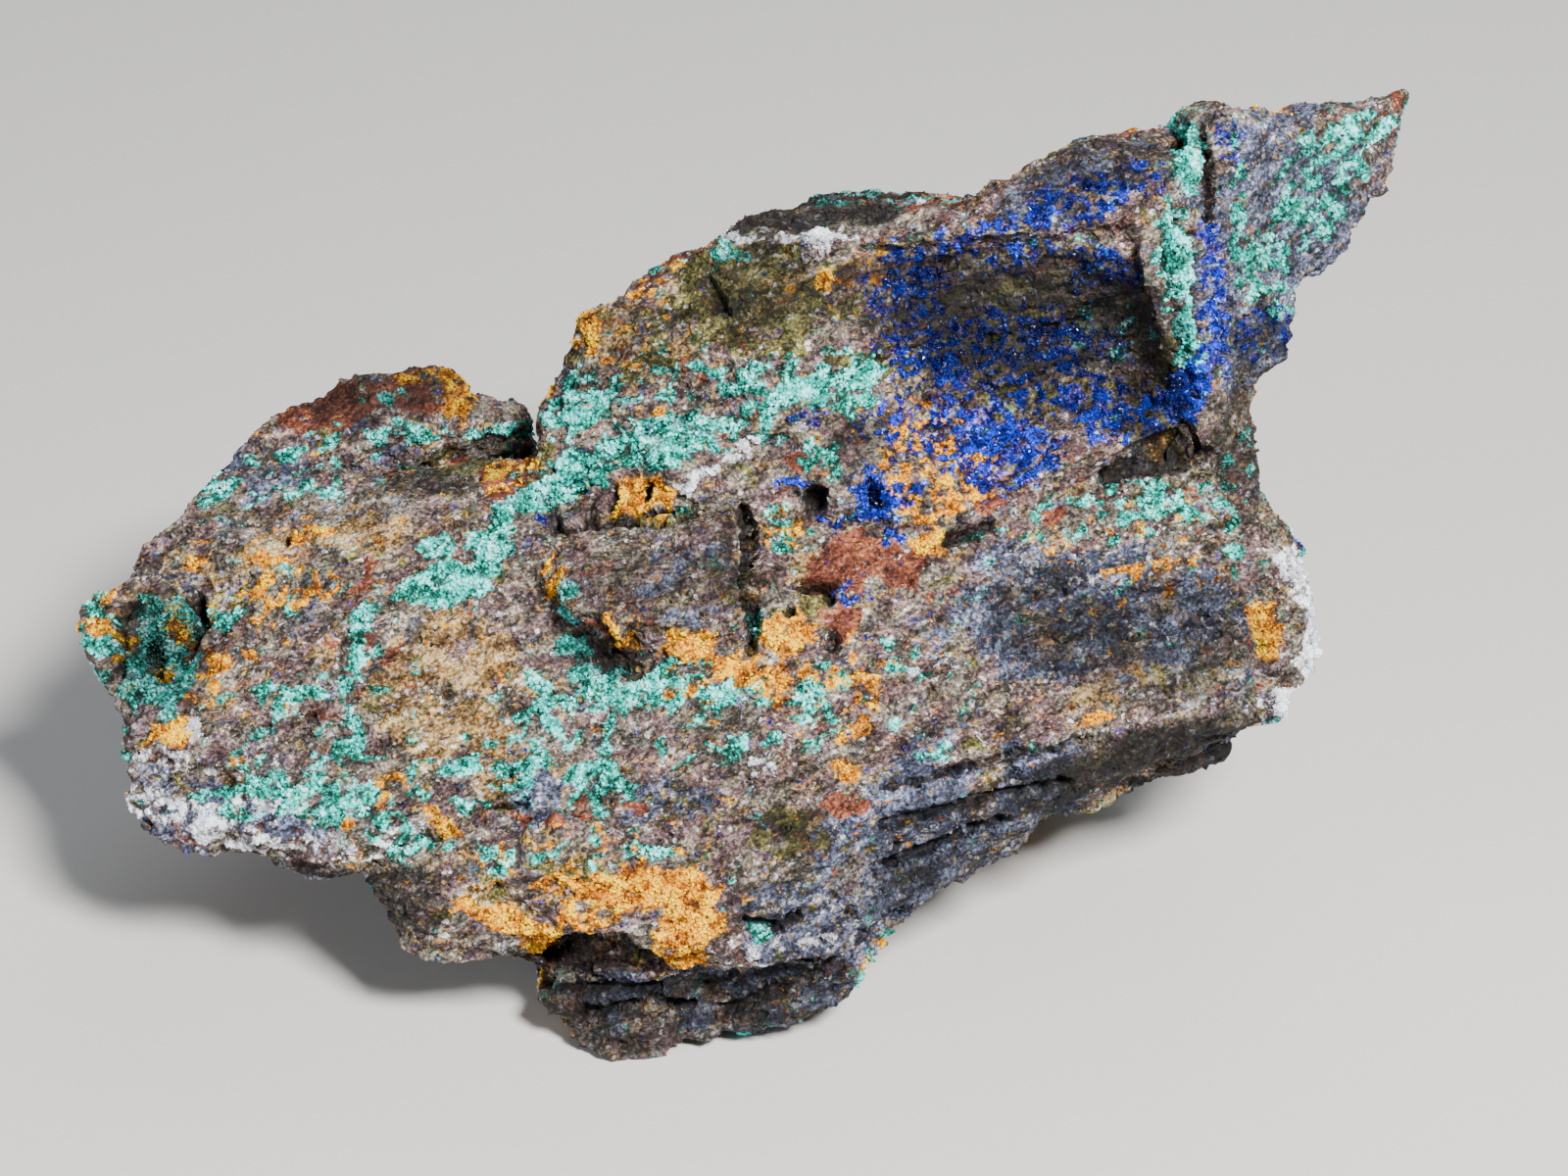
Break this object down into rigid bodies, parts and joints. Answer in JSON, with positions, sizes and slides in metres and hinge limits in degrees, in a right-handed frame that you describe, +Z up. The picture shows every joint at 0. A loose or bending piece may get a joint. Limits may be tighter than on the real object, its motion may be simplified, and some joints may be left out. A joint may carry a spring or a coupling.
{
  "type": "azurite specimen",
  "caption": "Rough hand specimen of copper ore: layered grey-brown rock with a blue azurite hollow, green malachite crusts and ochre stains, resting on a flat broken foot.",
  "frame": {"origin": "on the surface the stone rests on, under the middle of its outline", "axes": "+X along the length of the stone, towards its pointed upper end; +Y from the leaning front face to the back; +Z up"},
  "size_m": [0.1202, 0.0718, 0.0649],
  "materials": {
    "azurite_rock": "rough broken rock with crystal crusts of blue azurite and green malachite, ochre and rust stains, and white quartz rims"
  },
  "bodies": {
    "root": {"azurite_rock": "azurite_rock"}
  },
  "joints": []
}
